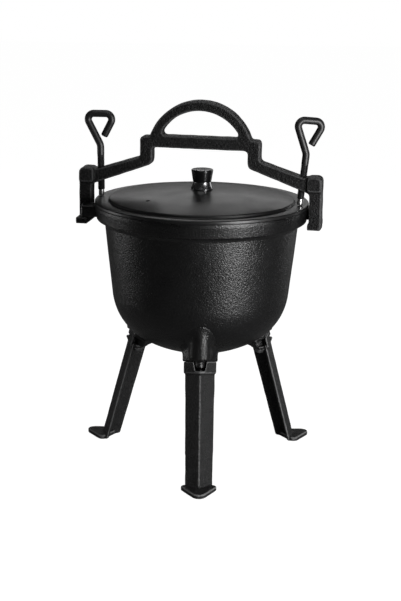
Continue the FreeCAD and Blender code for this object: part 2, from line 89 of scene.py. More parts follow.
class Finish:
    def __init__(self, name):
        self.material = bpy.data.materials.new(name)
        self.material.use_nodes = True
        self.tree = self.material.node_tree
        self.shader = self.tree.nodes["Principled BSDF"]

    def node(self, kind, settings=None, inputs=None, output=0):
        made = self.tree.nodes.new(kind)
        for key, value in (settings or {}).items():
            if key == "stops":
                ramp = made.color_ramp
                while len(ramp.elements) < len(value):
                    ramp.elements.new(0.5)
                for element, (place, shade) in zip(ramp.elements, value):
                    element.position = place
                    element.color = (shade, shade, shade, 1.0)
            else:
                setattr(made, key, value)
        for key, value in (inputs or {}).items():
            self.feed(made.inputs[key], value)
        return Wire(self, made.outputs[output])

    def feed(self, socket, value):
        if isinstance(value, Wire):
            self.tree.links.new(value.socket, socket)
        else:
            socket.default_value = value

    def place(self):
        return self.node("ShaderNodeTexCoord", output=3)

    def noise(self, size, detail=3.0, roughness=0.55, place=None):
        # size is that of one grain, in millimetres
        return self.node(
            "ShaderNodeTexNoise", {},
            {"Vector": place or self.place(), "Scale": 1 / (size * mm), "Detail": detail,
             "Roughness": roughness})

    def mask(self, wire, start, full):
        # 0 up to the start, 1 from the full value on
        ramp = self.node("ShaderNodeValToRGB", {"stops": ((start, 0.0), (full, 1.0))}, {0: wire})
        return self.node("ShaderNodeSeparateColor", {}, {0: ramp})

    def tint(self, mask, dark, light):
        return self.node(
            "ShaderNodeMix", {"data_type": "RGBA"},
            {0: mask, 6: (*dark, 1.0), 7: (*light, 1.0)}, 2)

    def bump(self, height, depth, below=None):
        inputs = {"Height": height, "Distance": depth * mm, "Strength": 1.0}
        if below:
            inputs["Normal"] = below
        return self.node("ShaderNodeBump", {}, inputs)

    def set(self, **values):
        for key, value in values.items():
            self.feed(self.shader.inputs[key.replace("_", " ")], value)


# the finishes: four blackened cast irons, lacquered knob and rods, bare steels

sandCast = {
    "patch": (0.35, 0.65), "speck": (0.42, 0.62),  # where each mask starts and is full
    # the lighter edge band: partly worn blacking, partly a painted highlight along the edges
    "wearHighlightSpan": 0.35, "wearHighlightBreak": 0.5, "rubPolish": 0.08,
}


def castIron(name, look):
    made = Finish(name)
    place = made.place()
    sand = made.noise(look["sand"], 2.0, 0.6, place)
    grit = made.noise(look["grit"], 2.0, 0.5, place)
    cloud = made.noise(look["cloud"], 3.0, 0.5, place)
    patch = made.mask(cloud, *sandCast["patch"])
    speck = made.mask(sand, *sandCast["speck"])
    skin = made.tint(speck * 0.5 + patch * 0.5, look["dark"], look["light"])
    roughness = look["roughness"] + speck * look["sparkle"] + patch * look["smear"]
    if "wearHighlight" in look:
        # handling rubs the blacking thin along the edges, and the lighter colour there is also a painted
        # highlight standing in for the light lines on the rounded edges; the sand breaks that line up
        edge = made.node("ShaderNodeAttribute", {"attribute_name": "edge"}, output=2)
        wearHighlightEdge = edge + (sand - 0.5) * sandCast["wearHighlightBreak"]
        wearHighlight = made.mask(wearHighlightEdge, look["wearHighlightFrom"], look["wearHighlightFrom"] + sandCast["wearHighlightSpan"])
        skin = made.node(
            "ShaderNodeMix", {"data_type": "RGBA"},
            {0: wearHighlight * look["wearHighlight"], 6: skin, 7: (*look["wearHighlightColour"], 1.0)}, 2)
        roughness = roughness - wearHighlight * sandCast["rubPolish"]
    made.set(Base_Color=skin, Roughness=roughness, Metallic=0.0)
    made.shader.inputs["Specular IOR Level"].default_value = look["shine"]
    coarse = made.bump(sand, look["sandDepth"])
    made.set(Normal=made.bump(grit, look["gritDepth"], below=coarse))
    return made


# the yoke and leg irons carry a lighter edge colour that is partly wear and partly a painted highlight
irons = {
    "potIron": dict(
        sand=2.2, grit=1.0, cloud=38.0, dark=(0.0015, 0.0015, 0.0016), light=(0.004, 0.004, 0.0042),
        roughness=0.27, sparkle=0.04, smear=0.05, shine=0.5, sandDepth=0.60, gritDepth=0.17),
    "yokeIron": dict(
        sand=2.4, grit=1.2, cloud=22.0, dark=(0.0015, 0.0015, 0.0016), light=(0.006, 0.006, 0.0062),
        roughness=0.46, sparkle=0.08, smear=0.05, shine=0.28,
        wearHighlight=0.9, wearHighlightFrom=0.30, wearHighlightColour=(0.05, 0.05, 0.051), sandDepth=1.3, gritDepth=0.35),
    "legIron": dict(
        sand=2.2, grit=1.1, cloud=26.0, dark=(0.003, 0.003, 0.0031), light=(0.009, 0.009, 0.0093),
        roughness=0.48, sparkle=0.10, smear=0.05, shine=0.4,
        wearHighlight=1.0, wearHighlightFrom=0.55, wearHighlightColour=(0.15, 0.15, 0.151), sandDepth=1.5, gritDepth=0.4),
    "lidIron": dict(
        sand=1.2, grit=0.5, cloud=45.0, dark=(0.003, 0.003, 0.0031), light=(0.007, 0.007, 0.0072),
        roughness=0.31, sparkle=0.04, smear=0.09, shine=0.5, sandDepth=0.12, gritDepth=0.04),
}


def lacquer(name, look):
    made = Finish(name)
    place = made.place()
    wave = made.noise(look["wave"], 2.0, 0.5, place)
    dust = made.noise(look["dust"], 2.0, 0.6, place)
    made.set(
        Base_Color=made.tint(wave, look["dark"], look["light"]),
        Roughness=look["roughness"] + dust * look["haze"],
        Coat_Weight=look["coat"])
    made.shader.inputs["Coat Roughness"].default_value = look["coatRoughness"]
    made.set(Normal=made.bump(wave, look["depth"]))
    return made


lacquers = {
    "knobLacquer": dict(
        wave=6.0, dust=0.5, dark=(0.003, 0.003, 0.0031), light=(0.006, 0.006, 0.0062),
        roughness=0.20, haze=0.08, coat=0.4, coatRoughness=0.08, depth=0.02),
    "rodBlack": dict(
        wave=3.0, dust=0.8, dark=(0.005, 0.005, 0.0052), light=(0.011, 0.011, 0.0113),
        roughness=0.38, haze=0.12, coat=0.0, coatRoughness=0.08, depth=0.08),
}


def bareSteel(name, look):
    made = Finish(name)
    place = made.place()
    lines = made.node(
        "ShaderNodeMapping", {"vector_type": "POINT"}, {"Vector": place, "Scale": look["stretch"]})
    grain = made.noise(look["grain"], 3.0, 0.6, lines)
    stain = made.mask(made.noise(look["stain"], 3.0, 0.6, place), *look["stained"])
    made.set(
        Base_Color=made.tint(stain, look["bright"], look["dull"]),
        Roughness=look["roughness"] + grain * look["brush"] + stain * look["haze"],
        Metallic=1.0)
    made.set(Normal=made.bump(grain, look["depth"]))
    return made


steels = {
    "tipSteel": dict(
        stretch=(1.0, 1.0, 8.0), grain=1.2, stain=3.0, bright=(0.62, 0.62, 0.63), dull=(0.30, 0.295, 0.29),
        stained=(0.45, 0.7), roughness=0.22, brush=0.12, haze=0.15, depth=0.02),
    "ferruleSteel": dict(
        stretch=(1.0, 1.0, 1.0), grain=0.8, stain=5.0, bright=(0.30, 0.30, 0.305), dull=(0.20, 0.20, 0.203),
        stained=(0.45, 0.7), roughness=0.16, brush=0.12, haze=0.15, depth=0.01),
    "boltSteel": dict(
        stretch=(1.0, 1.0, 1.0), grain=0.6, stain=4.0, bright=(0.20, 0.20, 0.205), dull=(0.09, 0.088, 0.086),
        stained=(0.45, 0.7), roughness=0.32, brush=0.12, haze=0.15, depth=0.03),
}

finishes = {name: castIron(name, look) for name, look in irons.items()}
finishes.update({name: lacquer(name, look) for name, look in lacquers.items()})
finishes.update({name: bareSteel(name, look) for name, look in steels.items()})
print("finishes made:", ", ".join(sorted(finishes)))


# outlines and meshes, in millimetres until the mesh is filled

def softened(corners, stepAngle=10.0):
    # an open line through (across, up, radius) corners, each radius made of short chords
    points = []
    last = len(corners) - 1
    for index, (across, up, radius) in enumerate(corners):
        here = np.array([across, up], float)
        if radius <= 0 or index in (0, last):
            points.append(here)
            continue
        back = np.array(corners[index - 1][:2], float) - here
        ahead = np.array(corners[index + 1][:2], float) - here
        back /= np.linalg.norm(back)
        ahead /= np.linalg.norm(ahead)
        half = math.acos(max(-1.0, min(1.0, float(back @ ahead)))) / 2
        reach = radius / math.tan(half)
        centre = here + (back + ahead) / np.linalg.norm(back + ahead) * radius / math.sin(half)
        start, end = here + back * reach - centre, here + ahead * reach - centre
        sweep = math.pi - 2 * half
        sign = 1.0 if start[0] * end[1] - start[1] * end[0] > 0 else -1.0
        steps = max(2, math.ceil(math.degrees(sweep) / stepAngle))
        for step in range(steps + 1):
            turn = sign * sweep * step / steps
            cosine, sine = math.cos(turn), math.sin(turn)
            points.append(centre + np.array([
                start[0] * cosine - start[1] * sine, start[0] * sine + start[1] * cosine]))
    return np.array(points)


def spaced(points, gap):
    # no stretch of the line longer than gap
    made = [points[0]]
    for begin, end in zip(points[:-1], points[1:]):
        pieces = max(1, math.ceil(np.linalg.norm(end - begin) / gap))
        made += [begin + (end - begin) * k / pieces for k in range(1, pieces + 1)]
    return np.array(made)


def arc(start, middle, end, steps):
    (ax, ay), (bx, by), (cx, cy) = start, middle, end
    twice = 2 * (ax * (by - cy) + bx * (cy - ay) + cx * (ay - by))
    a, b, c = ax * ax + ay * ay, bx * bx + by * by, cx * cx + cy * cy
    centre = np.array([
        (a * (by - cy) + b * (cy - ay) + c * (ay - by)) / twice,
        (a * (cx - bx) + b * (ax - cx) + c * (bx - ax)) / twice])
    radius = math.hypot(ax - centre[0], ay - centre[1])
    first, mid, final = (math.atan2(p[1] - centre[1], p[0] - centre[0]) for p in (start, middle, end))
    full = (final - first) % (2 * math.pi)
    if (mid - first) % (2 * math.pi) > full:
        full -= 2 * math.pi
    turns = first + full * np.arange(steps + 1) / steps
    return centre + radius * np.stack([np.cos(turns), np.sin(turns)], 1)


def ringFaces(rings, around, closed=False):
    # quads from each ring of points to the next, and from the last to the first if closed
    faces = []
    for row in range(rings if closed else rings - 1):
        low, high = row * around, (row + 1) % rings * around
        faces += [
            (low + k, low + (k + 1) % around, high + (k + 1) % around, high + k) for k in range(around)]
    return faces


def turnedMesh(name, profile, segments):
    profile = np.asarray(profile, float)
    turns = np.arange(segments) * 2 * math.pi / segments
    ring = np.stack([np.cos(turns), np.sin(turns)], 1)
    verts = np.concatenate([
        (profile[:, None, :1] * ring[None]).reshape(-1, 2),
        np.repeat(profile[:, 1:], segments, 0)], 1)
    return filled(name, verts, ringFaces(len(profile), segments, closed=True))


def filled(name, verts, faces):
    mesh = bpy.data.meshes.new(name)
    mesh.from_pydata((np.asarray(verts) * mm).tolist(), [], faces)
    shape = bmesh.new()
    shape.from_mesh(mesh)
    bmesh.ops.remove_doubles(shape, verts=shape.verts, dist=1e-7)
    bmesh.ops.recalc_face_normals(shape, faces=shape.faces)
    shape.to_mesh(mesh)
    shape.free()
    return mesh


def coordinates(mesh):
    co = np.empty(len(mesh.vertices) * 3)
    mesh.vertices.foreach_get("co", co)
    return co.reshape(-1, 3)


def setCoordinates(mesh, co):
    mesh.vertices.foreach_set("co", np.ascontiguousarray(co).ravel())
    mesh.update()


def normals(mesh):
    out = np.empty(len(mesh.vertices) * 3)
    mesh.vertex_normals.foreach_get("vector", out)
    return out.reshape(-1, 3)


def neighbourMean(mesh):
    # a function that gives each point the mean of a field over the points it shares an edge with
    ends = np.empty(len(mesh.edges) * 2, np.int32)
    mesh.edges.foreach_get("vertices", ends)
    one, other = ends.reshape(-1, 2).T
    size = len(mesh.vertices)
    count = np.maximum(np.bincount(ends, minlength=size), 1)

    def mean(field):
        if field.ndim == 2:
            return np.stack([mean(column) for column in field.T], 1)
        return (np.bincount(one, field[other], size) + np.bincount(other, field[one], size)) / count

    return mean


def relaxed(mesh, rounds, weight=0.5):
    # each point moves towards its neighbours' middle, which rounds edges as a casting's are
    co, mean = coordinates(mesh), neighbourMean(mesh)
    for _ in range(rounds):
        co += weight * (mean(co) - co)
    setCoordinates(mesh, co)


def edgeMarked(mesh, reach):
    # an attribute that is 1 on outward edges and 0 on flats and hollows
    co, mean = coordinates(mesh), neighbourMean(mesh)
    sharpness = ((co - mean(co)) * normals(mesh)).sum(1)
    for _ in range(2):
        sharpness = 0.5 * sharpness + 0.5 * mean(sharpness)
    mark = mesh.attributes.new("edge", "FLOAT", "POINT")
    mark.data.foreach_set("value", np.clip(sharpness / (reach * mm), 0, 1).astype(np.float32))


def uneven(mesh, depth, size):
    # a casting's faces are never quite flat
    co = coordinates(mesh)
    swell = np.array([noise.noise(Vector(p) / (size * mm)) for p in co])
    setCoordinates(mesh, co + normals(mesh) * (swell * depth * mm)[:, None])


def heldIn(mesh, node):
    # the visible piece stays inside its node's own box
    low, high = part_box(node)
    setCoordinates(mesh, np.clip(coordinates(mesh), np.array(low), np.array(high)))


def remeshed(mesh, voxel):
    holder = bpy.data.objects.new("holder", mesh)
    scene.collection.objects.link(holder)
    skin = holder.modifiers.new("voxels", "REMESH")
    skin.mode = "VOXEL"
    skin.voxel_size = voxel * mm
    made = bpy.data.meshes.new_from_object(
        holder.evaluated_get(bpy.context.evaluated_depsgraph_get()))
    bpy.data.objects.remove(holder)
    return made


def welded(node):
    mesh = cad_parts[node].data.copy()
    shape = bmesh.new()
    shape.from_mesh(mesh)
    bmesh.ops.remove_doubles(shape, verts=shape.verts, dist=2e-6)
    shape.to_mesh(mesh)
    shape.free()
    mesh.materials.clear()
    return mesh


def placed(mesh, name, body, finish, stands=(), sharp=40.0):
    mesh.name = name
    mesh.materials.clear()
    mesh.materials.append(finishes[finish].material)
    mesh.shade_smooth()
    mesh.set_sharp_from_angle(angle=math.radians(sharp))
    piece = bpy.data.objects.new(name, mesh)
    scene.collection.objects.link(piece)
    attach(piece, body)
    if stands:
        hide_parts(*stands)
    return piece


# the kettle: a turned shell, and lumps cut from the casting for its three bosses and two ears

kettle = {
    "neckRadius": 130.6, "neckHeight": 331.0, "waistRadius": 121.1, "waistHeight": 242.7,
    "corner": 80.4, "dishStart": 61.0, "wall": 6.0, "rimRadius": 145.0, "rimTop": 357.5,
    "rimFoot": 338.0, "rimFootRadius": 142.5, "bead": 2.2, "beadRise": 4.0, "lip": 3.0, "mouthDeep": 8.0,
    "uneven": (0.18, 34.0), "segments": 240, "voxel": 1.05,
}


def bowlLine(inset, steps):
    corner = kettle["corner"]
    centreX, centreZ = kettle["waistRadius"] - corner, kettle["waistHeight"]
    turn = math.radians(kettle["dishStart"])
    dish = (centreX + corner * math.cos(turn)) / math.cos(turn)
    dishTop = centreZ - corner * math.sin(turn) + dish * math.sin(turn)
    slope = math.atan2(kettle["neckRadius"] - kettle["waistRadius"], kettle["neckHeight"] - centreZ)
    points = [
        ((dish - inset) * math.cos(a), dishTop - (dish - inset) * math.sin(a))
        for a in np.linspace(math.pi / 2, turn, steps)]
    points += [
        (centreX + (corner - inset) * math.cos(a), centreZ - (corner - inset) * math.sin(a))
        for a in np.linspace(turn, slope, 2 * steps)[1:]]
    low = points[-1]
    points.append((low[0] + (kettle["neckHeight"] - low[1]) * math.tan(slope), kettle["neckHeight"]))
    return np.array(points)


def shellProfile():
    outside = bowlLine(0.0, 22)
    neck = outside[-1]
    bead, beadTop = neck[0] + kettle["bead"], neck[1] + kettle["beadRise"]
    foot, low, rim, top = kettle["rimFootRadius"], kettle["rimFoot"], kettle["rimRadius"], kettle["rimTop"]
    lip = rim - kettle["lip"]
    flange = softened([
        (neck[0], neck[1] - 3.0, 0), (neck[0] + 0.3, neck[1], 3.0), (bead, beadTop, 1.5),
        (foot - 3.0, low - 1.0, 1.2), (foot, low - 0.2, 1.2), (rim - 0.1, top - 5.0, 0.5),
        (rim - 0.05, top - 0.1, 1.0), (lip, top, 0.6)], 12.0)
    inside = bowlLine(kettle["wall"], 16)[::-1]
    mouth = inside[0][0]
    ledge = softened([(lip, top, 0), (mouth, top, 1.4), (mouth, top - kettle["mouthDeep"], 0)], 15.0)
    return np.concatenate([outside[:-1], flange, ledge[1:], inside])


def fromLine(co, line):
    # how far each point stands outside the shell's outer line, in its own half plane
    flat = np.stack([np.hypot(co[:, 0], co[:, 1]), co[:, 2]], 1)
    starts, runs = line[:-1], np.diff(line, axis=0)
    best = np.full(len(flat), 1e9)
    for start, run in zip(starts, runs):
        off = flat - start
        share = np.clip(off @ run / (run @ run), 0, 1)
        gap = off - share[:, None] * run
        reach = np.hypot(gap[:, 0], gap[:, 1])
        side = np.sign(off[:, 0] * run[1] - off[:, 1] * run[0])
        closer = reach < np.abs(best)
        best[closer] = (reach * side)[closer]
    return best


shellLine = shellProfile()
shell = turnedMesh("kettleShell", spaced(shellLine, 2.4), kettle["segments"])
uneven(shell, *kettle["uneven"])
heldIn(shell, "kettle_body")
placed(shell, "kettleShell", "kettle", "potIron", ["kettle_body"])
print("kettle shell:", len(shell.polygons), "faces")


def clipped(mesh, planes):
    shape = bmesh.new()
    shape.from_mesh(mesh)
    for point, outward in planes:
        cut = bmesh.ops.bisect_plane(
            shape, geom=shape.verts[:] + shape.edges[:] + shape.faces[:],
            plane_co=Vector(point) * mm, plane_no=Vector(outward), clear_outer=True)
        rims = [e for e in cut["geom_cut"] if isinstance(e, bmesh.types.BMEdge)]
        bmesh.ops.triangle_fill(shape, use_beauty=True, use_dissolve=False, edges=rims)
    bmesh.ops.recalc_face_normals(shape, faces=shape.faces)
    shape.to_mesh(mesh)
    shape.free()


bearings = {"front": -90.0, "right": 30.0, "left": 150.0}
lumps = {
    "boss": dict(
        bearings=bearings, inner=48, half=44, level=262, above=False,
        blend=(3.0, 15.0), rounds=110, edge=7, sink=1.2),
    "ear": dict(
        bearings={"right": 0.0, "left": 180.0}, inner=128, half=26, level=322, above=True,
        blend=(1.5, 4.5), rounds=14, edge=5, sink=1.0),
}
outerLine = shellLine[: int(np.argmax(shellLine[:, 1])) + 6]
for kind, lump in lumps.items():
    half, away = lump["half"], -1 if lump["above"] else 1
    planes = [
        ((lump["inner"], 0, 0), (-1, 0, 0)), ((0, half, 0), (0, 1, 0)),
        ((0, -half, 0), (0, -1, 0)), ((0, 0, lump["level"]), (0, 0, away))]
    for place, bearing in lump["bearings"].items():
        mesh = welded("kettle_body")
        spin = Matrix.Rotation(math.radians(bearing), 4, "Z")
        mesh.transform(spin.inverted())
        clipped(mesh, planes)
        mesh = remeshed(mesh, kettle["voxel"])
        stand = fromLine(coordinates(mesh) / mm, outerLine)
        near, far = lump["blend"]
        soft = np.clip((far - stand) / (far - near), 0, 1)[:, None]
        relaxed(mesh, lump["edge"])
        relaxed(mesh, lump["rounds"], 0.5 * soft)
        # the bowl's own skin sinks into the wall, so only the lump and its fillet show
        stand = fromLine(coordinates(mesh) / mm, outerLine)
        fade = np.clip(1 - stand / 0.5, 0, 1)
        sunk = fade * fade * (3 - 2 * fade) * lump["sink"] * mm
        setCoordinates(mesh, coordinates(mesh) - normals(mesh) * sunk[:, None])
        mesh.transform(spin)
        uneven(mesh, *kettle["uneven"])
        heldIn(mesh, "kettle_body")
        placed(mesh, kind + place.title(), "kettle", "potIron")
    print(kind, "lumps:", len(mesh.polygons), "faces each")


# the yoke and the three legs: the castings' own shapes with rounded edges and an uneven skin

castings = {
    "yokeCasting": dict(
        node="yoke", body="yoke", slot="yoke_iron", finish="yokeIron",
        voxel=0.95, rounds=9, edge=0.06, uneven=(0.28, 12.0)),
}
for place in bearings:
    castings["leg" + place.title()] = dict(
        node=f"leg_{place}", body="kettle", slot="leg_iron", finish="legIron",
        voxel=0.9, rounds=5, edge=0.06, uneven=(0.22, 12.0))
for name, cast in castings.items():
    mesh = remeshed(welded(cast["node"]), cast["voxel"])
    relaxed(mesh, cast["rounds"])
    edgeMarked(mesh, cast["edge"])
    uneven(mesh, *cast["uneven"])
    heldIn(mesh, cast["node"])
    placed(mesh, name, cast["body"], cast["finish"], [cast["node"]], 60.0)
    print(name, len(mesh.polygons), "faces")


# the lid, with its dome, step, rim and the rib that seats it, and the steam vent

lid = {
    "rim": 145.0, "seat": 357.5, "edgeTop": 362.0, "step": 126.5, "stepTop": 365.5, "crown": 377.3,
    "shoulder": 3.0, "gutter": 0.7, "wall": 4.5, "rib": 124.3, "ribDepth": 5.0, "ribThick": 4.0,
    "ribDraft": 0.6, "hollow": 6.0, "eye": 3.3, "vent": 3.0, "ventReach": 92.0, "ventBearing": 218.5,
    "drill": 12.0, "drillLevel": 368.0, "uneven": (0.12, 40.0), "segments": 256,
}


def crownHeight(reach, drop=0.0):
    rise = lid["crown"] - lid["stepTop"]
    return lid["crown"] - drop - rise * (reach / (lid["step"] - lid["shoulder"])) ** 2


def lidProfile():
    rim, seat, top, step, rib = lid["rim"], lid["seat"], lid["edgeTop"], lid["step"], lid["rib"]
    shoulder, inner = step - lid["shoulder"], rib - lid["ribThick"]
    ribFoot, ribEdge, hollow = seat - lid["ribDepth"], rib - lid["ribDraft"], inner - lid["hollow"]
    outward = np.linspace(lid["eye"], shoulder, 60)
    dome = np.array([(r, crownHeight(r)) for r in outward])
    edge = softened([
        (shoulder - 1.5, crownHeight(shoulder - 1.5), 0), (step - 1.2, crownHeight(step - 1.2), 1.6),
        (step, top - lid["gutter"], 1.2), (rim, top, 1.6), (rim, seat, 0.5), (rib, seat, 0.8),
        (ribEdge, ribFoot, 0.8), (inner, ribFoot, 0.8),
        (inner, crownHeight(inner, lid["wall"]), 3.0), (hollow, crownHeight(hollow, lid["wall"]), 0)], 9.0)
    under = np.array([
        (r, crownHeight(r, lid["wall"])) for r in np.linspace(hollow - 0.5, lid["eye"], 40)])
    return np.concatenate([dome[:-2], edge, under])


mesh = turnedMesh("lidCover", spaced(lidProfile(), 2.6), lid["segments"])
uneven(mesh, *lid["uneven"])
vent, deep = lid["vent"], lid["drill"]
drill = turnedMesh("drill", np.array([(0, -deep), (vent, -deep), (vent, deep), (0, deep)]), 48)
bearing, reach = math.radians(lid["ventBearing"]), lid["ventReach"]
drillSpot = Vector((reach * math.cos(bearing), reach * math.sin(bearing), lid["drillLevel"]))
drill.transform(Matrix.Translation(drillSpot * mm))
cover = bpy.data.objects.new("cover", mesh)
tool = bpy.data.objects.new("tool", drill)
scene.collection.objects.link(cover)
scene.collection.objects.link(tool)
hole = cover.modifiers.new("vent", "BOOLEAN")
hole.operation = "DIFFERENCE"
hole.solver = "EXACT"
hole.object = tool
mesh = bpy.data.meshes.new_from_object(cover.evaluated_get(bpy.context.evaluated_depsgraph_get()))
bpy.data.objects.remove(cover)
bpy.data.objects.remove(tool)
heldIn(mesh, "lid")
placed(mesh, "lidCover", "lid", "lidIron", ["lid"], 35.0)
print("lid:", len(mesh.polygons), "faces")


# the knob, its flared foot, and the screw and washer under the lid

knob = {
    "foot": 377.3, "flare": 15.1, "lip": 1.2, "waist": 5.8, "ferrule": 10.6, "height": 16.8, "neck": 12.4,
    "top": 15.1, "thread": 3.0, "threadDeep": 11.0, "segments": 128,
}
foot, lip, neck, wide = knob["foot"], knob["foot"] + knob["lip"], knob["neck"], knob["flare"]
joint = foot + knob["ferrule"]
crest = joint + knob["height"]
bore, tapped, tappedEnd = knob["thread"] + 0.3, knob["thread"] + 0.05, joint + knob["threadDeep"]
flare = np.concatenate([
    softened([(bore, foot, 0), (wide, foot, 0.7), (wide, lip, 0)], 15.0),
    arc((wide, lip + 0.1), (neck + 0.7, foot + knob["waist"]), (neck - 0.4, joint - 0.4), 24),
    softened([(neck - 0.4, joint - 0.3, 0), (neck - 0.5, joint, 0.2), (bore, joint, 0)], 20.0)])
mesh = turnedMesh("knobFerrule", flare, knob["segments"])
placed(mesh, "knobFerrule", "lid", "ferruleSteel", ["knob_ferrule"])
grip = softened([
    (tapped, joint, 0), (neck, joint, 0.7), (knob["top"], crest - 0.2, 1.6),
    (knob["top"] * 0.55, crest, 4.0), (0, crest, 0)], 8.0)
grip = np.concatenate([spaced(grip, 1.2), [(0, tappedEnd), (tapped, tappedEnd)]])
mesh = turnedMesh("knobGrip", grip, knob["segments"])
heldIn(mesh, "knob")
placed(mesh, "knobGrip", "lid", "knobLacquer", ["knob"])
for node in ("knob_screw", "knob_washer"):
    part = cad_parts[node]
    part.data.materials.clear()
    part.data.materials.append(finishes["boltSteel"].material)
print("knob: grip and ferrule")


# the clamp screws: a threaded rod bent into an eye, with a bright swivel tip

yoke = {"bearing": 11.0, "slackAlong": -2.0, "slackAcross": -2.5}
screws = {
    "left": dict(sign=-1, seat=137.2, lean=1.2, rise=112.6, half=21.5, stop=0.0),
    "right": dict(sign=1, seat=135.7, lean=5.8, rise=114.8, half=20.2, stop=22.0),
}
rod = {
    "radius": 4.9, "start": 9.1, "neck": 70.0, "neckBend": 14.0, "eyeBend": 8.0, "eyeEnd": (5.3, 82.3),
    "lidTop": 362.0, "pitch": 1.5, "threadDepth": 0.75, "threadEnd": 58.0, "around": 32,
    "spigot": 2.0, "spigotLength": 4.0, "runOut": 4.0, "chamfer": 0.8, "gap": 1.4,
}
tip = {
    "radius": 3.9, "length": 9.0, "dome": (0.06, 0.43, 0.92), "shoulder": 1.6,
    "groove": 0.5, "grooveFoot": 2.6, "grooveTop": 1.2, "segments": 64,
}


def screwPlace(screw):
    turn = Matrix.Rotation(math.radians(-yoke["bearing"]), 4, "Z")
    slack = Matrix.Translation((yoke["slackAlong"] * mm, yoke["slackAcross"] * mm, 0))
    foot = Matrix.Translation((screw["sign"] * screw["seat"] * mm, 0, rod["lidTop"] * mm))
    lean = Matrix.Rotation(math.radians(screw["sign"] * screw["lean"]), 4, "Y")
    return turn @ slack @ foot @ lean


def threadGroove(height, pitch, turns):
    # 1 at the root of a helical thread and 0 along its crest
    phase = (height / pitch - turns / (2 * math.pi)) % 1.0
    return np.clip(1 - np.abs(phase - 0.5) * 2.4, 0, 1)


def rodMesh(screw):
    radius, start, gap = rod["radius"], rod["start"], rod["gap"]
    line = softened([
        (0, start, 0), (0, rod["neck"], rod["neckBend"]), (-screw["half"], screw["rise"], rod["eyeBend"]),
        (screw["half"], screw["rise"], rod["eyeBend"]), (*rod["eyeEnd"], 0)], 6.0)
    threaded = np.arange(start, rod["threadEnd"] + 2.0, rod["pitch"] / 6)
    straight = np.stack([np.zeros(len(threaded)), threaded], 1)
    bent = spaced(line[1:], gap)
    between = spaced(np.array([straight[-1], bent[0]]), gap)[1:-1]
    path = np.concatenate([straight, between, bent])
    steps = np.linalg.norm(np.diff(path, axis=0), axis=1)
    run = np.concatenate([[0], np.cumsum(steps)])
    ahead = np.gradient(path, axis=0)
    ahead /= np.linalg.norm(ahead, axis=1)[:, None]
    across = np.stack([ahead[:, 1], -ahead[:, 0]], 1)
    around = rod["around"]
    turns = np.arange(around) * 2 * math.pi / around
    rings = []
    for place, way, along in zip(path, across, run):
        # a groove that runs out towards the bare shank, chamfers at both cut ends
        fade = np.clip((rod["threadEnd"] - start - along) / rod["runOut"], 0, 1)
        groove = threadGroove(along, rod["pitch"], turns) * rod["threadDepth"] * fade
        chamfer = max(0.0, rod["chamfer"] - min(along, run[-1] - along)) * 0.9
        reach = radius - np.maximum(groove, chamfer)
        rings.append(np.stack([
            place[0] + way[0] * np.cos(turns) * reach, np.sin(turns) * reach,
            place[1] + way[1] * np.cos(turns) * reach], 1))
    thin, low = rod["spigot"], start - rod["spigotLength"]
    spigot = [
        np.stack([np.cos(turns) * reach, np.sin(turns) * reach, np.full(around, height)], 1)
        for reach, height in ((0.0, low), (thin - 0.3, low), (thin, low + 0.3), (thin, start))]
    close = np.tile([path[-1][0], 0.0, path[-1][1]], (around, 1))
    rings = spigot + rings + [close]
    return filled("rod", np.concatenate(rings), ringFaces(len(rings), around))


def tipOutline():
    # a domed foot, a turned groove near the top, and the socket for the rod's spigot
    r, tall, (low, middle, high) = tip["radius"], tip["length"], tip["dome"]
    waist, grooveFoot, grooveTop = r - tip["groove"], tall - tip["grooveFoot"], tall - tip["grooveTop"]
    socket, deep = rod["spigot"] + 0.06, tall - rod["spigotLength"] - 0.3
    return np.concatenate([
        arc((0, low), (r * 0.6, middle), (r - 0.3, high), 10),
        softened([
            (r - 0.3, high + 0.03, 0), (r, tip["shoulder"], 0.5), (r, grooveFoot, 0),
            (waist, grooveFoot + 0.4, 0), (waist, grooveTop - 0.4, 0), (r, grooveTop, 0), (r, tall, 0.4),
            (socket, tall, 0), (socket, deep, 0), (0, deep, 0)], 20.0)])


for side, screw in screws.items():
    mesh = rodMesh(screw)
    mesh.transform(screwPlace(screw) @ Matrix.Rotation(math.radians(screw["stop"]), 4, "Z"))
    node = f"clamp_screw_{side}"
    heldIn(mesh, node)
    placed(mesh, "clampScrew" + side.title(), node, "rodBlack", [node], 50.0)
    mesh = turnedMesh("tip", tipOutline(), tip["segments"])
    mesh.transform(screwPlace(screw))
    node = f"screw_tip_{side}"
    placed(mesh, "screwTip" + side.title(), node, "tipSteel", [node], 30.0)
print("clamp screws and tips")


# the bolts that hold the legs to the bosses

leg = {"splay": 16.3, "reach": 161.5, "webLow": 154.0, "webHigh": 160.0, "boltSeat": 20.0}
bolt = {
    "radius": 4.0, "flats": 13.0, "head": 5.3, "bite": 16.0, "pitch": 1.25, "depth": 0.6, "around": 48,
}
washer = {"radius": 8.0, "thick": 1.6, "eye": 4.3, "segments": 64}


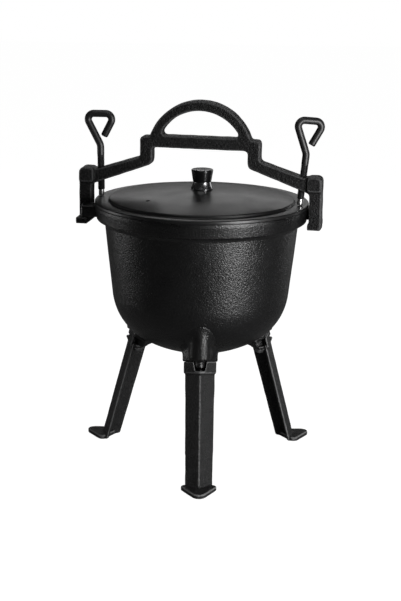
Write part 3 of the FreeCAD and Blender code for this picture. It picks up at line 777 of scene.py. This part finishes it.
def boltMesh():
    # a hexagon whose ends are turned down to a chamfer, and a threaded shank
    around, flat, head = bolt["around"], bolt["flats"] / 2, bolt["head"]
    turns = np.arange(around) * 2 * math.pi / around
    fold = (turns + math.pi / 6) % (math.pi / 3) - math.pi / 6
    hexagon = flat / np.cos(fold)
    corner = flat / math.cos(math.pi / 6)
    rows = [(np.zeros(around), -head), (np.full(around, flat * 0.86), -head)]
    chamfers = [
        (-head + 0.05, flat * 0.93), (-head + 0.7, corner - 0.35), (-head + 1.2, corner),
        (-1.0, corner), (-0.45, corner - 0.35), (-0.3, flat * 0.97)]
    rows += [(np.minimum(hexagon, limit), height) for height, limit in chamfers]
    rows += [(np.full(around, flat * 0.95), -0.02), (np.full(around, flat * 0.95), 0.0)]
    length = washer["thick"] + leg["webHigh"] - leg["webLow"] + bolt["bite"]
    for height in np.arange(0.0, length, bolt["pitch"] / 6):
        groove = threadGroove(height, bolt["pitch"], turns) * bolt["depth"]
        chamfer = max(0.0, 1.0 - (length - height))
        rows.append((bolt["radius"] - np.maximum(groove, chamfer), height))
    rows.append((np.zeros(around), length))
    verts = np.concatenate([
        np.stack([np.cos(turns) * reach, np.sin(turns) * reach, np.full(around, height)], 1)
        for reach, height in rows])
    return filled("bolt", verts, ringFaces(len(rows), around))


for place, bearing in bearings.items():
    stand = (
        Matrix.Rotation(math.radians(bearing), 4, "Z")
        @ Matrix.Translation((leg["reach"] * mm, 0, 0))
        @ Matrix.Rotation(math.radians(-leg["splay"]), 4, "Y")
        @ Matrix.Translation((-leg["boltSeat"] * mm, 0, (leg["webLow"] - washer["thick"]) * mm)))
    mesh = boltMesh()
    mesh.transform(stand)
    name = place.title()
    placed(mesh, "legBolt" + name, "kettle", "boltSteel", [f"leg_bolt_{place}"], 30.0)
    outer, inner, thick = washer["radius"], washer["eye"], washer["thick"]
    ring = softened([
        (inner + 0.5, 0, 0), (outer, 0, 0.4), (outer, thick, 0.4), (inner, thick, 0.3),
        (inner, 0, 0.3), (inner + 0.4, 0, 0)], 30.0)
    mesh = turnedMesh("washer", ring, washer["segments"])
    mesh.transform(stand)
    placed(mesh, "legWasher" + name, "kettle", "boltSteel", [f"leg_washer_{place}"], 30.0)
print("leg bolts and washers")


# the stage: a pale floor, soft light and the camera

stage = {
    "floorSize": 12.0, "floorDrop": 0.0003, "floorGlow": 0.985, "floorShade": 0.24, "roomLight": 0.025,
}


def floorFinish():
    made = Finish("paleFloor")
    seen = made.node("ShaderNodeLightPath", output=0)
    cloud = made.noise(300.0, 2.0, 0.5)
    made.set(
        Base_Color=made.tint(cloud, (stage["floorShade"],) * 3, (stage["floorShade"] * 1.04,) * 3),
        Roughness=0.9)
    made.set(Emission_Color=made.tint(seen, (0, 0, 0), (1, 1, 1)), Emission_Strength=stage["floorGlow"])
    return made


half = stage["floorSize"] / 2
floorMesh = bpy.data.meshes.new("floor")
floorMesh.from_pydata(
    [(-half, -half, -stage["floorDrop"]), (half, -half, -stage["floorDrop"]),
     (half, half, -stage["floorDrop"]), (-half, half, -stage["floorDrop"])], [], [(0, 1, 2, 3)])
floorMesh.materials.append(floorFinish().material)
floor = bpy.data.objects.new("floor", floorMesh)
scene.collection.objects.link(floor)

world = bpy.data.worlds.new("room")
scene.world = world
world.use_nodes = True
tree = world.node_tree
for old in list(tree.nodes):
    tree.nodes.remove(old)
out = tree.nodes.new("ShaderNodeOutputWorld")
blend = tree.nodes.new("ShaderNodeMixShader")
path = tree.nodes.new("ShaderNodeLightPath")
dim = tree.nodes.new("ShaderNodeBackground")
pale = tree.nodes.new("ShaderNodeBackground")
dim.inputs[0].default_value = (1, 1, 1, 1)
dim.inputs[1].default_value = stage["roomLight"]
pale.inputs[0].default_value = (1, 1, 1, 1)
pale.inputs[1].default_value = 1.0
tree.links.new(path.outputs["Is Camera Ray"], blend.inputs[0])
tree.links.new(dim.outputs[0], blend.inputs[1])
tree.links.new(pale.outputs[0], blend.inputs[2])
tree.links.new(blend.outputs[0], out.inputs[0])

# each lamp: bearing from the front towards the right, distance and height in metres, width, tall, watts
lamps = {
    "keyRight": (39.0, 1.35, 0.28, 0.22, 0.8, 24.0),
    "topSoft": (-20.0, 0.4, 1.7, 1.0, 1.0, 4.5),
    "fillLeft": (-104.0, 1.5, 0.10, 0.4, 0.6, 3.5),
    "backSoft": (180.0, 1.8, 1.1, 1.6, 0.5, 3.8),
    "backFill": (130.0, 1.7, 0.30, 0.5, 0.9, 3.5),
}
for name, (around, away, height, width, tall, watts) in lamps.items():
    light = bpy.data.lights.new(name, "AREA")
    light.shape = "RECTANGLE"
    light.size, light.size_y = width, tall
    light.energy = watts
    lamp = bpy.data.objects.new(name, light)
    scene.collection.objects.link(lamp)
    turn = math.radians(around)
    spot = Vector((math.sin(turn) * away, -math.cos(turn) * away, height))
    lamp.location = spot
    lamp.rotation_euler = (Vector((0, 0, 0.26)) - spot).to_track_quat("-Z", "Y").to_euler()
    lamp.visible_camera = False

view = {
    "yaw": -0.55, "back": 2.2311, "side": 0.0002, "height": 0.7855, "down": 14.19, "roll": 0.8525,
    "lens": 100.08,
}
cameraData = bpy.data.cameras.new("camera")
cameraData.sensor_width = 36.0
cameraData.lens = view["lens"]
cameraData.clip_start, cameraData.clip_end = 0.05, 60.0
camera = bpy.data.objects.new("camera", cameraData)
scene.collection.objects.link(camera)
camera.matrix_world = (
    Matrix.Rotation(math.radians(view["yaw"]), 4, "Z")
    @ Matrix.Translation((view["side"], -view["back"], view["height"]))
    @ Matrix.Rotation(math.radians(90.0 - view["down"]), 4, "X")
    @ Matrix.Rotation(math.radians(view["roll"]), 4, "Z"))
scene.camera = camera
scene.view_settings.view_transform = "Standard"
print("stage, lamps and camera")
